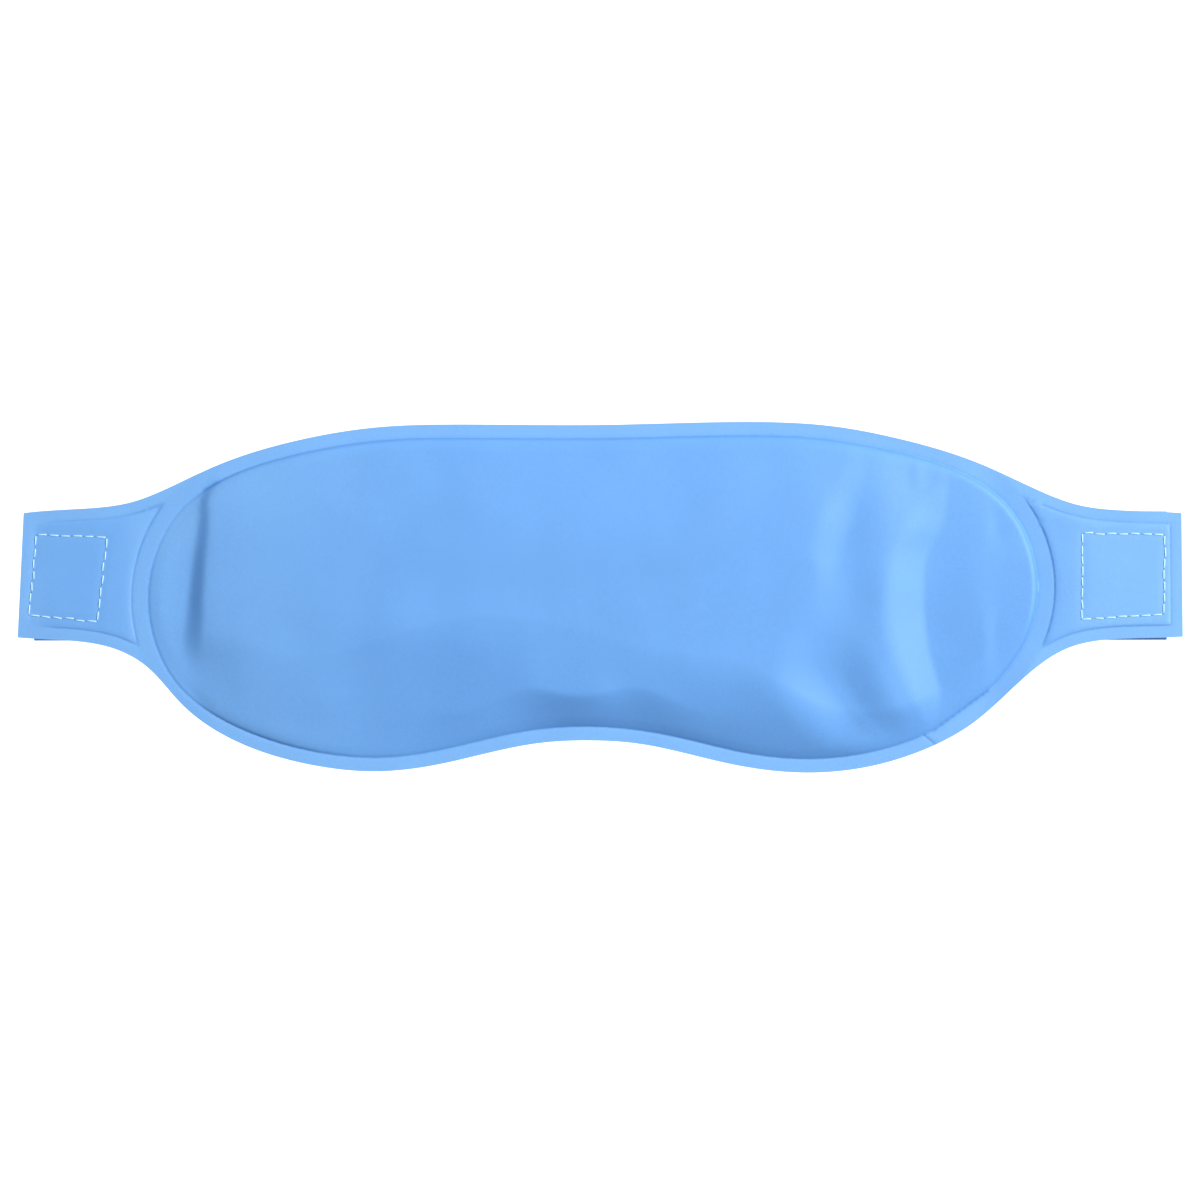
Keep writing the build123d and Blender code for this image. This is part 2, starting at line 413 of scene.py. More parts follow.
def round_rise(depth, width):
    """A quarter ellipse from 0 at the edge to 1 at width."""
    u = np.clip(depth / width, 0, 1)
    return np.sqrt(np.maximum(1 - (1 - u) ** 2, 0))


def slant_rise(depth, width, power):
    """A long slope that is steepest at the edge."""
    return 1 - (1 - np.clip(depth / width, 0, 1)) ** power


def line_distance(points, start, end):
    """How far each point is from a straight line between two others."""
    start, end = np.array(start, float), np.array(end, float)
    span = end - start
    t = np.clip((points - start) @ span / (span @ span), 0, 1)
    return np.linalg.norm(points - start - t[:, None] * span, axis=1)


def film_depth(points):
    """Depth inside the shown pocket, which ends at the seal across the filling port."""
    start, end = np.array(PORT_SEAL)
    along = (end - start) / np.linalg.norm(end - start)
    beyond = (points - start) @ np.array([-along[1], along[0]])
    depth = pocket_depth(points)
    return np.where(points[:, 0] > start[0] - PORT_REACH, np.minimum(depth, beyond), depth)


def crown(points):
    """Height of the front of the pocket above its welded edge, before it rounds off to that edge.
    Where a fold fades out, the same drop is spread over a wider stretch instead."""
    x = points[:, 0]
    rise, whole_rise = fold(points, LEFT_CREASE, even_rise)
    height = curve(x, CROWN) - (whole_rise - rise)
    height -= 0.8 * (CREASE_RISE - whole_rise) * (1 - ease((x + 104) / 40))
    ridge, ridge_drop = fold(points, BROAD_RIDGE, crisp_end)
    height -= ridge + (RIDGE_DROP - ridge_drop) * ease((x - 58) / 28)
    soft, soft_drop = fold(points, SOFT_FOLD, ease)
    height -= soft + (SOFT_DROP - soft_drop) * ease((x - 44) / 30)
    for rows in (THIN_RIDGE, LOBE_SIDE, LOBE_FOOT):
        height -= fold(points, rows, ease)[0]
    for at_x, at_y, across, up, by in HOLLOWS:
        height += by * bell((x - at_x) / across) * bell((points[:, 1] - at_y) / up)
    height += 0.16 * ripple(points, 26, 3) + 0.05 * ripple(points, 9, 8)
    return height


def flange_wave(points):
    """The slight waviness of the welded edge and the tabs, which both films share."""
    return 0.10 * ripple(points, 11, 5)


def tab_depth(depth, edge):
    """How far inside a tab's own flat pocket a point is, from how far it is inside the pocket and from
    the outline."""
    inside, beside = edge - TAB_RIM, -depth - TAB_GAP
    return -0.5 * np.log(np.exp(-2 * np.clip(inside, -9, 9)) + np.exp(-2 * np.clip(beside, -9, 9)))


def tab_shown(x):
    """The left tab's flat pocket fades out towards its free end."""
    return ease((x + 133) / 5)


def nose_rise(points):
    """How much of its height the front has reached on the slope up from the nose side."""
    x = points[:, 0]
    from_nose = line_depth(nose, points)
    width, power = (curve(x, NOSE_SLOPE, column) for column in (1, 2))
    notch = NOTCH_SHARE * bell((x - NOTCH_X) / NOTCH_HALF)
    notch_width = NOTCH_SLOPE + NOTCH_SWAY * np.cos(2 * pi * (x + 18) / NOTCH_PITCH)
    rise = (1 - notch) * slant_rise(from_nose, width, power)
    rise += notch * slant_rise(from_nose, notch_width, 1.2)
    flat_rim = 0.12 * ease((-55 - x) / 25)
    return flat_rim + (1 - flat_rim) * rise


def grooves(points, depth, tab):
    """How deep the front film is pressed in by the weld, the seal, the slit, the tabs' lines and the
    stitches."""
    deep = 0.08 * bell(depth / GROOVE_HALF)
    deep += 0.08 * bell(line_distance(points, *PORT_SEAL) / GROOVE_HALF)
    deep += 0.12 * bell(line_distance(points, *PORT_SLIT) / GROOVE_HALF)
    deep += 0.09 * tab_shown(points[:, 0]) * bell(tab / 0.3)
    return deep + 0.10 * bell(stitch_distance(points) / 0.8)


def front_height(points):
    """Height of the outer face of the front film."""
    x = points[:, 0]
    depth, edge = film_depth(points), outline_depth(points)
    empty = ease((EMPTY_X - x) / EMPTY_FADE)
    roll = EDGE_ROLL - 1.2 * ease((x - 80) / 10)
    edge_rise = (1 - empty) * round_rise(depth, roll) + empty * ease(depth / 3)
    brow_rise = 0.32 + 0.68 * slant_rise(line_depth(brow, points), BROW_SLOPE, 1.8)
    step = STEP_H * (1 - 0.85 * empty) * (1 - np.exp(-np.maximum(depth, 0) / 0.5))
    pillow = np.maximum(crown(points), 0.15) * edge_rise * nose_rise(points) * brow_rise + step
    tab = tab_depth(depth, edge)
    puff = np.where(x < 0, 0.13, 0.24) * round_rise(tab, 1.3) * ease((tab + 0.3) / 0.8)
    height = np.where(depth > 0, pillow, 0.0) + tab_shown(x) * puff - grooves(points, depth, tab)
    return FRONT_Z + height + flange_wave(points)


def back_height(points):
    """Height of the outer face of the back film, which lies on the strap and on the table."""
    depth = film_depth(points)
    over_strap = 1 - ease((np.abs(points[:, 1] - STRAP_Y) - STRAP_HALF - 0.6) / 5)
    lowest = BELLY_Z + (STRAP_TOP + OVER_STRAP - BELLY_Z) * over_strap
    belly = (BACK_Z - lowest) * round_rise(depth, BACK_SLOPE)
    ripples = 0.12 * ripple(points, 14, 21) * ease(depth / 6)
    height = BACK_Z - belly + np.maximum(ripples, -0.1) * (depth > 0)
    height += 0.12 * bell(depth / GROOVE_HALF)
    return height + flange_wave(points) * ease(1 - depth / 2)


# ---- The plan as one mesh of triangles, close together along the pocket's edge ----
GRID = 0.85
EDGE_ROWS = (-1.7, -1.0, -0.55, -0.25, 0, 0.18, 0.4, 0.7, 1.1, 1.6, 2.3, 3.1)  # depths inside the edge
GRID_OUT, GRID_IN = -2.3, 3.6  # the even grid stays out of this range of depths
LINE_ROWS = (-0.5, -0.25, 0, 0.25, 0.5)  # rows of points beside the seal and the slit
TAB_ROWS = (-0.45, -0.22, 0, 0.22, 0.45)  # and beside the lines on the tabs
LINE_ROOM, SPLIT_ROOM = 0.45, 0.22  # what loose points keep away from those lines, and from a split
RIM_ROW, RIM_ROOM = 0.35, 0.55  # a row just inside the outline, and where the loose points begin
ARC_X, RIM_X = 96, 104  # the lines on the tabs have rows only further out than this
REACH_X, REACH_Y = 140, 45  # a box round the whole pillow
LEFT_SPLIT = pocket[:, 0].min() - 0.27
RIGHT_SPLIT = pocket[:, 0].max() + 0.45


def inset_outline(by):
    """The outline moved inwards."""
    moved = outline - by * outward(outline)
    return moved[outline_depth(moved) > 0.8 * by]


def pressed_lines():
    """Points close together along the seal, the slit and the lines round the tabs' flat pockets."""
    rows = []
    for start, end in (PORT_SEAL, PORT_SLIT):
        start, end = np.array(start), np.array(end)
        length = np.linalg.norm(end - start)
        across = np.array([end[1] - start[1], start[0] - end[0]]) / length
        line = np.linspace(start, end, round(length / 0.4) + 1)
        rows += [line + across * offset for offset in LINE_ROWS]
    for offset in TAB_ROWS:
        arc = pocket[::2] + pocket_out[::2] * (TAB_GAP + offset)
        rim = inset_outline(TAB_RIM + offset)
        arc = arc[(np.abs(arc[:, 0]) > ARC_X) & (outline_depth(arc) > TAB_RIM)]
        rim = rim[(np.abs(rim[:, 0]) > RIM_X) & (pocket_depth(rim) < -TAB_GAP)]
        rows += [arc, rim]
    return np.concatenate(rows)


def even_grid():
    """Points in rows all over the pillow, except near its outline and the pocket's edge."""
    rows = np.arange(-REACH_Y, REACH_Y, GRID * 0.866)
    columns = np.arange(-REACH_X, REACH_X, GRID)
    grid = np.array([(x + GRID / 2 * (i % 2), y) for i, y in enumerate(rows) for x in columns])
    x, y = grid.T
    inside = (y < np.interp(x, *brow.T) - 1) & (y > np.interp(x, *nose.T) + 1)
    inside &= (x > left_end[:, 0].max() - 3) & (x < right_end[:, 0].max() + 3)
    grid = grid[inside]
    depth = pocket_depth(grid)
    return grid[(depth > GRID_IN) | (depth < GRID_OUT)]


def plan_mesh():
    """(points, triangles) over the whole outline, with a line of edges at each split."""
    every = round(GRID / POCKET_STEP)
    rings = [pocket[::every] - pocket_out[::every] * inset for inset in EDGE_ROWS]
    pressed = pressed_lines()
    loose = np.concatenate(rings + [even_grid()])
    loose = loose[np.linalg.norm(loose - pressed[nearest(pressed, loose)], axis=1) > LINE_ROOM]
    loose = np.concatenate([loose, pressed])
    loose = loose[outline_depth(loose) > RIM_ROOM]
    inner = inset_outline(RIM_ROW)
    splits = []
    for x in (LEFT_SPLIT, RIGHT_SPLIT):
        loose = loose[np.abs(loose[:, 0] - x) > SPLIT_ROOM]
        inner = inner[np.abs(inner[:, 0] - x) > SPLIT_ROOM]
        bottom, top = np.interp(x, *nose.T), np.interp(x, *brow.T)
        column = np.linspace(bottom, top, round((top - bottom) / GRID) + 1)[1:-1]
        splits.append(np.column_stack([np.full(len(column), x), column]))
    points = np.concatenate([outline, *splits, loose, inner])
    count = len(outline)
    fixed = [(i, (i + 1) % count) for i in range(count)]
    for split in splits:
        fixed += [(count + i, count + i + 1) for i in range(len(split) - 1)]
        count += len(split)
    inside_only, closest = 1, 1e-4
    made = delaunay_2d_cdt([Vector(p) for p in points], fixed, [], inside_only, closest)
    return np.array([v[:] for v in made[0]]), np.array(made[2])


# ---- Materials: woven film, elastic, thread, hooks and loops, gel ----
class Nodes:
    """A small helper that adds nodes to one material and links them."""

    def __init__(self, name):
        self.material = bpy.data.materials.new(name)
        self.material.use_nodes = True
        self.tree = self.material.node_tree
        self.shader = self.tree.nodes["Principled BSDF"]

    def add(self, kind, inputs=(), **settings):
        node = self.tree.nodes.new(kind)
        for key, value in settings.items():
            setattr(node, key, value)
        for socket, value in dict(inputs).items():
            self.set(node, socket, value)
        return node

    def set(self, node, socket, value):
        if isinstance(value, bpy.types.NodeSocket):
            self.tree.links.new(value, node.inputs[socket])
        else:
            node.inputs[socket].default_value = value

    def math(self, operation, a, b):
        return self.add("ShaderNodeMath", {0: a, 1: b}, operation=operation).outputs[0]

    def place(self):
        return self.add("ShaderNodeTexCoord").outputs["Object"]

    def noise(self, size_mm, detail=2.0):
        inputs = {"Vector": self.place(), "Scale": 1 / (size_mm * MM), "Detail": detail}
        return self.add("ShaderNodeTexNoise", inputs).outputs["Fac"]

    def wave(self, direction, pitch_mm, wobble=0.0):
        inputs = {
            "Vector": self.place(),
            "Scale": pi / 10 / (pitch_mm * MM),
            "Distortion": wobble,
            "Detail": 1.0,
            "Detail Scale": 0.3,
        }
        node = self.add("ShaderNodeTexWave", inputs, wave_type="BANDS", bands_direction=direction)
        return node.outputs["Fac"]

    def swing(self, value, strength):
        """How far value is from a half, times strength."""
        return self.math("MULTIPLY", self.math("SUBTRACT", value, 0.5), strength)

    def weave(self, pitch_mm):
        """The height of a plain weave, from about 0.25 to 0.75."""
        warp = self.math("SUBTRACT", self.wave("X", pitch_mm), 0.5)
        weft = self.math("SUBTRACT", self.wave("Y", pitch_mm), 0.5)
        return self.math("ADD", self.math("MULTIPLY", warp, weft), 0.5)

    def bump(self, height, depth_mm, strength=1.0, under=None):
        inputs = {"Height": height, "Distance": depth_mm * MM, "Strength": strength}
        if under is not None:
            inputs["Normal"] = under
        return self.add("ShaderNodeBump", inputs).outputs["Normal"]

    def between(self, factor, a, b):
        inputs = {"Factor": factor, 6: a, 7: b}
        return self.add("ShaderNodeMix", inputs, data_type="RGBA").outputs[2]

    def shade(self, colour, amount):
        """colour, lightened or darkened by amount, a number round 1."""
        inputs = {0: colour, "Scale": amount}
        return self.add("ShaderNodeVectorMath", inputs, operation="SCALE").outputs[0]

    def finish(self, **values):
        for name, value in values.items():
            self.set(self.shader, name.replace("_", " "), value)
        return self.material


POCKET_COLOUR = (0.129, 0.354, 0.79, 1)
WELD_COLOUR = (0.177, 0.421, 0.83, 1)
# the deep colour of the pressed lines, also used as painted shade
PRESSED_AND_SHADE_COLOUR = (0.07, 0.25, 0.66, 1)
STRAP_COLOUR = (0.22, 0.38, 0.75, 1)
STRAP_LIGHT = (0.26, 0.43, 0.80, 1)
THREAD_PITCH = 0.5  # of the film's weave, in millimetres


def cover_material():
    """The films. weld turns the pocket's colour into the weld's, and pressed into the deep colour of a
    pressed line, which also paints shade in grooves and on slopes that face away from the lamp.
    """
    m = Nodes("cover_weave")
    weld = m.add("ShaderNodeAttribute", attribute_name="weld").outputs["Fac"]
    line = m.add("ShaderNodeAttribute", attribute_name="pressed").outputs["Fac"]
    colour = m.between(weld, POCKET_COLOUR, WELD_COLOUR)
    colour = m.between(line, colour, PRESSED_AND_SHADE_COLOUR)
    grain = m.swing(m.noise(0.5, 3.0), 0.22)
    cloudy = m.swing(m.noise(16.0), 0.10)
    threads = m.swing(m.weave(THREAD_PITCH), 0.16)
    amount = m.math("ADD", m.math("ADD", grain, m.math("ADD", cloudy, threads)), 1.0)
    normal = m.bump(m.weave(THREAD_PITCH), 0.04, 0.6)
    normal = m.bump(m.noise(3.5), 0.05, 0.25, under=normal)
    return m.finish(
        Base_Color=m.shade(colour, amount),
        Normal=normal,
        Roughness=0.62,
        Specular_IOR_Level=0.5,
        Sheen_Weight=0.05,
        Sheen_Roughness=0.4,
    )


def strap_material():
    m = Nodes("elastic")
    normal = m.bump(m.wave("X", 1.1, 0.4), 0.10, 0.6)
    normal = m.bump(m.noise(0.35, 3.0), 0.04, 0.4, under=normal)
    return m.finish(
        Base_Color=m.between(m.noise(0.6), STRAP_COLOUR, STRAP_LIGHT),
        Normal=normal,
        Roughness=0.8,
        Specular_IOR_Level=0.25,
        Sheen_Weight=0.2,
    )


def plain_material(name, colour, roughness, grain_mm=0.4, sheen=0.1):
    m = Nodes(name)
    amount = m.math("ADD", m.math("MULTIPLY", m.noise(grain_mm), 0.2), 0.9)
    return m.finish(
        Base_Color=m.shade(colour, amount),
        Normal=m.bump(m.noise(grain_mm), 0.03, 0.5),
        Roughness=roughness,
        Sheen_Weight=sheen,
    )


def gel_material():
    m = Nodes("gel")
    return m.finish(
        Base_Color=(0.10, 0.42, 0.85, 1), Roughness=0.15, Transmission_Weight=0.6, IOR=1.38
    )


COVER = cover_material()
ELASTIC = strap_material()
THREAD = plain_material("thread", (0.56, 0.84, 1.0), roughness=0.5)
# a dark blue that paints the shade inside each needle hole
HOLE_SHADE = plain_material("needle_hole_shade", (0.10, 0.26, 0.60), roughness=0.8, sheen=0.0)
HOOKS = plain_material("hook_tape", (0.16, 0.38, 0.78), roughness=0.45, grain_mm=0.8)
LOOPS = plain_material("loop_pile", (0.20, 0.40, 0.80), roughness=0.9, grain_mm=0.5, sheen=0.3)
GEL = gel_material()


# ---- Pieces made from the plan ----
def add_piece(name, verts, faces, materials, smooth=True):
    """A mesh piece from points in millimetres."""
    mesh = bpy.data.meshes.new(name)
    mesh.from_pydata((np.asarray(verts) * MM).tolist(), [], [list(f) for f in faces])
    for material in materials:
        mesh.materials.append(material)
    mesh.polygons.foreach_set("use_smooth", [smooth] * len(mesh.polygons))
    mesh.update()
    piece = bpy.data.objects.new(name, mesh)
    bpy.context.scene.collection.objects.link(piece)
    return piece


def surface_normals(heights):
    """Upward normals of the plan's surface at the given heights."""
    verts = np.column_stack([plan, heights])
    a, b, c = (verts[triangles[:, i]] for i in range(3))
    face = np.cross(b - a, c - a)
    total = np.zeros_like(verts)
    for i in range(3):
        np.add.at(total, triangles[:, i], face)
    return total / np.maximum(np.linalg.norm(total, axis=1), 1e-9)[:, None]


def film_piece(name, chosen, upper, lower, shown_normals, material):
    """A closed shell over some of the plan's triangles, between two heights, with a rounded rim."""
    used, faces = np.unique(triangles[chosen], return_inverse=True)
    faces = faces.reshape(-1, 3)
    count = len(used)
    verts = np.concatenate(
        [np.column_stack([plan[used], upper[used]]), np.column_stack([plan[used], lower[used]])]
    )
    directed = np.concatenate([faces[:, [0, 1]], faces[:, [1, 2]], faces[:, [2, 0]]])
    both = set(map(tuple, directed.tolist()))
    rim = [(a, b) for a, b in both if (b, a) not in both]
    shell = faces.tolist() + (faces[:, ::-1] + count).tolist()
    shell += [(b, a, a + count, b + count) for a, b in rim]
    piece = add_piece(name, verts, shell, [material])
    normals = np.concatenate([shown_normals[0][used], -shown_normals[1][used]])
    piece.data.normals_split_custom_set_from_vertices(normals.tolist())
    for attribute, values in (("weld", weld_share), ("pressed", pressed_and_shade_share)):
        layer = piece.data.attributes.new(attribute, "FLOAT", "POINT")
        layer.data.foreach_set("value", np.tile(values[used], 2).astype(np.float32))
    return piece


plan, triangles = plan_mesh()
centres = plan[triangles].mean(axis=1)
plan_depth = film_depth(plan)
plan_tab = tab_depth(plan_depth, outline_depth(plan))
on_tab = plan_depth < -TAB_START
front = front_height(plan)
back = back_height(plan)
risen, crease_rise = fold(plan, LEFT_CREASE, even_rise)
up_crease = risen / np.maximum(crease_rise, 0.1)  # 0 at the foot of the left crease and 1 at its top


def light_share(x, y):
    """The film looks lighter where it is welded and where little or no gel lies behind it."""
    little_gel = (0.6 + 0.2 * ease((y - 12) / 14)) * ease((-32 - x) / 56)
    no_gel = ease(1 - up_crease) * ease(crease_rise / 0.8) * (0.6 + 0.4 * ease((y - 4) / 14))
    share = np.where(plan_depth < 0, 1.0, np.maximum(little_gel, no_gel))
    share = np.maximum(share, 1 - ease((plan_depth + 0.2) / 0.5))
    left_dim = (1 - ease((x + 114) / 6)) * (0.4 + 0.6 * ease((x + 136) / 8))
    right_dim = 1 - ease((x - 108) / 10)
    dim = 0.6 * np.where(x < 0, left_dim, right_dim)
    return share - dim * ease((plan_tab + 0.2) / 0.6) * on_tab


def tab_line(x, y):
    """The line round each tab's flat pocket, partly the pressed film's own deeper colour and partly
    painted shade in its groove, deepest at its corner on the brow side, where it paints the shade of the
    arc.
    """
    # painted shade at the arc's corner on the brow side
    corner = bell((np.abs(x) - 106) / 5) * ease((y - 4) / 8)
    return bell(plan_tab / 0.28) * on_tab * tab_shown(x) * (0.34 + 0.3 * corner)


def port_line(x, y):
    """The seal across the filling port, which is dotted, and the slit beside it."""
    dots = 0.75 + 0.25 * np.cos(2 * pi * (x + y) / 2.4)
    seal = dots * bell(line_distance(plan, *PORT_SEAL) / 0.33)
    return np.maximum(seal, 0.8 * bell(line_distance(plan, *PORT_SLIT) / 0.28))


def weld_line(x, y):
    """The slightly uneven line round the pocket, partly the pressed film's own deeper colour and partly
    painted shade in the groove beside the weld; fainter at the upper left, darker at the lower left, and
    none beside the seal.
    """
    uneven = 0.15 * ripple(plan, 1.3, 40)
    away = ease((line_distance(plan, *PORT_SEAL) - 1.0) / 2.5)
    # painted shade: darker at the lower left, where the weld meets a slope that faces away from the lamp
    left = ease((-96 - x) / 6) * (0.4 - 0.9 * ease((y - 4) / 10))
    return 0.32 * bell((plan_depth - 0.15 + uneven) / 0.4) * away * (1 + left)


def end_band(x):
    """The darker band of weld round each end of the pocket."""
    band = (plan_depth < 0) * ease((plan_depth + 4.6) / 0.8) * ease((np.abs(x) - 88) / 8)
    return band * np.where(x > 0, 0.24, 0.10)


def dark_share(x, y):
    """How much the film has the deep colour of a pressed line, or of painted shade on the left crease,
    at its pinch against the weld and on the steep hollow above the nose.
    """
    # painted shade where the top of the left crease pinches against the weld
    pinch = bell(line_distance(plan, (-93.4, 25.4), (-90.2, 27.4)) / 0.6)
    lines = weld_line(x, y) + end_band(x) + tab_line(x, y) + 0.85 * port_line(x, y) + 0.5 * pinch
    # painted shade across the left crease's slope, which faces away from the lamp
    crease = 4 * up_crease * (1 - up_crease) * ease(crease_rise / 1.3)
    # painted shade on the steep hollow above the nose, whose slope faces away from the lamp
    notch = bell((x + 5) / 20) * bell((line_depth(nose, plan) - 5) / 5) * (plan_depth > 0)
    return np.maximum(np.clip(lines, 0, 1), 0.34 * crease + 0.16 * notch)


weld_share = light_share(*plan.T)
# pressed: the lines' own deeper colour, partly painted shade in their grooves, and painted shade on the
# left crease and above the nose
pressed_and_shade_share = dark_share(*plan.T)

parts = {
    "left_tab": centres[:, 0] < LEFT_SPLIT,
    "pocket": (centres[:, 0] > LEFT_SPLIT) & (centres[:, 0] < RIGHT_SPLIT),
    "right_tab": centres[:, 0] > RIGHT_SPLIT,
}
front_normals = (surface_normals(front), surface_normals(front - FILM_T))
back_normals = (surface_normals(back + FILM_T), surface_normals(back))
films = {}
for part, chosen in parts.items():
    films[part, "front"] = film_piece(
        f"{part}_front_film", chosen, front, front - FILM_T, front_normals, COVER
    )
    films[part, "back"] = film_piece(
        f"{part}_back_film", chosen, back + FILM_T, back, back_normals, COVER
    )


for side, way, hinge in (("left", -1, LEFT_HINGE), ("right", 1, RIGHT_HINGE)):
    for face in ("front", "back"):
        film = films[f"{side}_tab", face]
        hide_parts(f"{side}_tab_{face}")
        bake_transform(film)
for face in ("front", "back"):
    film = films["pocket", face]
    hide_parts(f"{face}_cover")
    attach(film, "gel_pack")


GEL_ROOM, GEL_GAP = 0.5, 0.15  # from the gel to the pocket's edge, and to the films


def gel_piece():
    """The gel, which fills the pocket just inside the two films."""
    inside = plan_depth[triangles].min(axis=1) > GEL_ROOM
    spread = ease((plan_depth - GEL_ROOM) / 1.5)
    middle = (front + back) / 2
    top = middle + (front - FILM_T - GEL_GAP - middle) * spread
    bottom = middle - (middle - back - FILM_T - GEL_GAP) * spread
    normals = (surface_normals(top), surface_normals(bottom))
    top, bottom = np.maximum(top, middle + 0.02), np.minimum(bottom, middle - 0.02)
    return film_piece("gel_body", inside, top, bottom, normals, GEL)


gel = gel_piece()
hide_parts("gel_fill")
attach(gel, "gel_pack")


# ---- Stitching ----
def surface_at(points, heights):
    """Heights of the plan's surface at other points, from the nearest points of the plan."""
    found = []
    for point in points:
        gap = np.linalg.norm(plan - point, axis=1)
        close = np.argsort(gap)[:4]
        weight = 1 / (gap[close] + 0.05)
        found.append((heights[close] * weight).sum() / weight.sum())
    return np.array(found)


def tube(path, radii, sides=8):
    """A closed tube along a path: (points, faces)."""
    path, verts = np.asarray(path, float), []
    ahead = np.gradient(path, axis=0)
    for place, direction, radius in zip(path, ahead, radii):
        direction = direction / np.linalg.norm(direction)
        side = np.cross(direction, (0.0, 0.0, 1.0))
        if np.linalg.norm(side) < 0.05:
            side = np.cross(direction, (0.0, 1.0, 0.0))
        side /= np.linalg.norm(side)
        up = np.cross(side, direction)
        for k in range(sides):
            turn = 2 * pi * k / sides
            verts.append(place + radius * (np.cos(turn) * side + np.sin(turn) * up))
    faces = []
    for ring in range(len(path) - 1):
        for k in range(sides):
            a, b = ring * sides + k, ring * sides + (k + 1) % sides
            faces.append((a, b, b + sides, a + sides))
    faces.append(tuple(range(sides))[::-1])
    faces.append(tuple(len(verts) - sides + k for k in range(sides)))
    return verts, faces


class Joined:
    """Collects many small closed shapes into one mesh."""

    def __init__(self):
        self.verts, self.faces, self.marks = [], [], []

    def add(self, shape, mark=0):
        verts, faces = shape
        first = len(self.verts)
        self.verts += list(verts)
        self.faces += [tuple(first + i for i in face) for face in faces]
        self.marks += [mark] * len(faces)

    def piece(self, name, materials, slot_name):
        made = add_piece(name, self.verts, self.faces, materials)
        made.data.polygons.foreach_set("material_index", self.marks)
        return made


THREAD_R = 0.17
HOLE_R, HOLE_SIDES = 0.14, 10


def stitch(centre, direction, length, z, up=1):
    """One stitch: a short thread that rises out of one needle hole and dives into the next."""
    steps = np.linspace(-1, 1, 9)
    path = [
        (*(centre + direction * s * length / 2), z + up * (0.05 - 0.30 * abs(s) ** 5)) for s in steps
    ]
    return tube(path, [THREAD_R * (1 - 0.3 * abs(s) ** 4) for s in steps])


def hole(centre, z):
    """A needle hole: a low dark lens in the face, painted shade where the hole is."""
    turns = [2 * pi * k / HOLE_SIDES for k in range(HOLE_SIDES)]
    ring = [(centre[0] + HOLE_R * np.cos(t), centre[1] + HOLE_R * np.sin(t), z) for t in turns]
    verts = [np.array(v) for v in ring + [(*centre, z + 0.05), (*centre, z - 0.3)]]
    faces = [(k, (k + 1) % HOLE_SIDES, HOLE_SIDES) for k in range(HOLE_SIDES)]
    faces += [((k + 1) % HOLE_SIDES, k, HOLE_SIDES + 1) for k in range(HOLE_SIDES)]
    return verts, faces


def stitching_piece(node, body, on_front):
    """All the thread of one sewn square, a little uneven from stitch to stitch. The tabs' squares show
    on the front face and under the tab, and the hook pads' squares on the pad and under the strap."""
    made = Joined()
    for centre, direction, z in stitch_list(node):
        turn = random.normal(0, 0.05)
        direction = np.array([direction[0] - turn * direction[1], direction[1] + turn * direction[0]])
        direction /= np.linalg.norm(direction)
        centre = centre + random.normal(0, 0.09, 2)
        length = STITCH_L * random.uniform(1.1, 1.25)
        if on_front and z > FACE_Z:
            z = surface_at([centre], front)[0]
            for way in (-1, 1):
                end = centre + direction * way * (length / 2 + 0.08)
                made.add(hole(end, surface_at([end], front)[0]), 1)
            made.add(stitch(centre, direction, length, z))
        else:
            facing = 1 if not on_front and z > STRAP_TOP else -1
            z = max(z, THREAD_R + 0.06)
            made.add(stitch(centre, direction, length, z, facing))
    piece = made.piece(f"{node}_thread", [THREAD, HOLE_SHADE], "thread")
    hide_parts(node)
    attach(piece, body)


stitching_piece("left_tab_stitching", "left_tab", True)
stitching_piece("right_tab_stitching", "right_tab", True)
stitching_piece("left_hook_stitching", "left_tab", False)
stitching_piece("right_hook_stitching", "strap", False)


# ---- Strap: one length of elastic, with closer rows where it leaves the left tab ----
RIB_PITCH, RIB_DEPTH = 1.54, 0.10
STRAP_INSET = 0.15  # a relaxed elastic is this much narrower on each side than its CAD solid
STRAP_ROUND = 0.6  # width of the rounding along each edge
ROW, BEND_ROW = 1.6, 0.4  # steps along the strap, and round the hinge by the left tab


def strap_section():
    """Closed loop across the strap: (y, z), ribbed on both faces and rounded at the edges."""
    half = STRAP_HALF - STRAP_INSET
    across = np.linspace(-half, half, 141)
    past = np.clip(np.abs(across) - half + STRAP_ROUND, 0, STRAP_ROUND) / STRAP_ROUND
    rounding = STRAP_TOP / 2 * np.sqrt(1 - past**2)
    flat = rounding > STRAP_TOP / 2 - 0.01
    thick = rounding - RIB_DEPTH * (0.5 - 0.5 * np.cos(2 * pi * across / RIB_PITCH)) * flat
    upper = np.column_stack([across, STRAP_TOP / 2 + thick])
    lower = np.column_stack([across, STRAP_TOP / 2 - thick])
    return np.concatenate([upper[::-1], lower[1:-1]])


def strap_piece():
    left, right = low("strap_left_end", 0), high("strap_band", 0)
    bend = np.arange(STRAP_HINGE - 3, STRAP_HINGE + 6, BEND_ROW)
    before, after = np.arange(left, bend[0] - 0.5, ROW), np.arange(bend[-1] + 1.2, right - 0.6, ROW)
    places = np.concatenate([before, bend, after, [right]])
    section = strap_section()
    count = len(section)
    # the left end lies a little nearer the nose side than the right end
    verts = [(x, STRAP_Y - 0.18 * ease(-(x + 30) / 100) + y, z) for x in places for y, z in section]
    faces = []
    for i in range(len(places) - 1):
        for k in range(count):
            a, b = i * count + k, i * count + (k + 1) % count
            faces.append((a, b, b + count, a + count))
    faces.append(tuple(range(count))[::-1])
    faces.append(tuple(len(verts) - count + k for k in range(count)))
    piece = add_piece("strap_elastic", verts, faces, [ELASTIC])
    piece.data.polygons[-1].use_smooth = piece.data.polygons[-2].use_smooth = False
    return piece, right - left


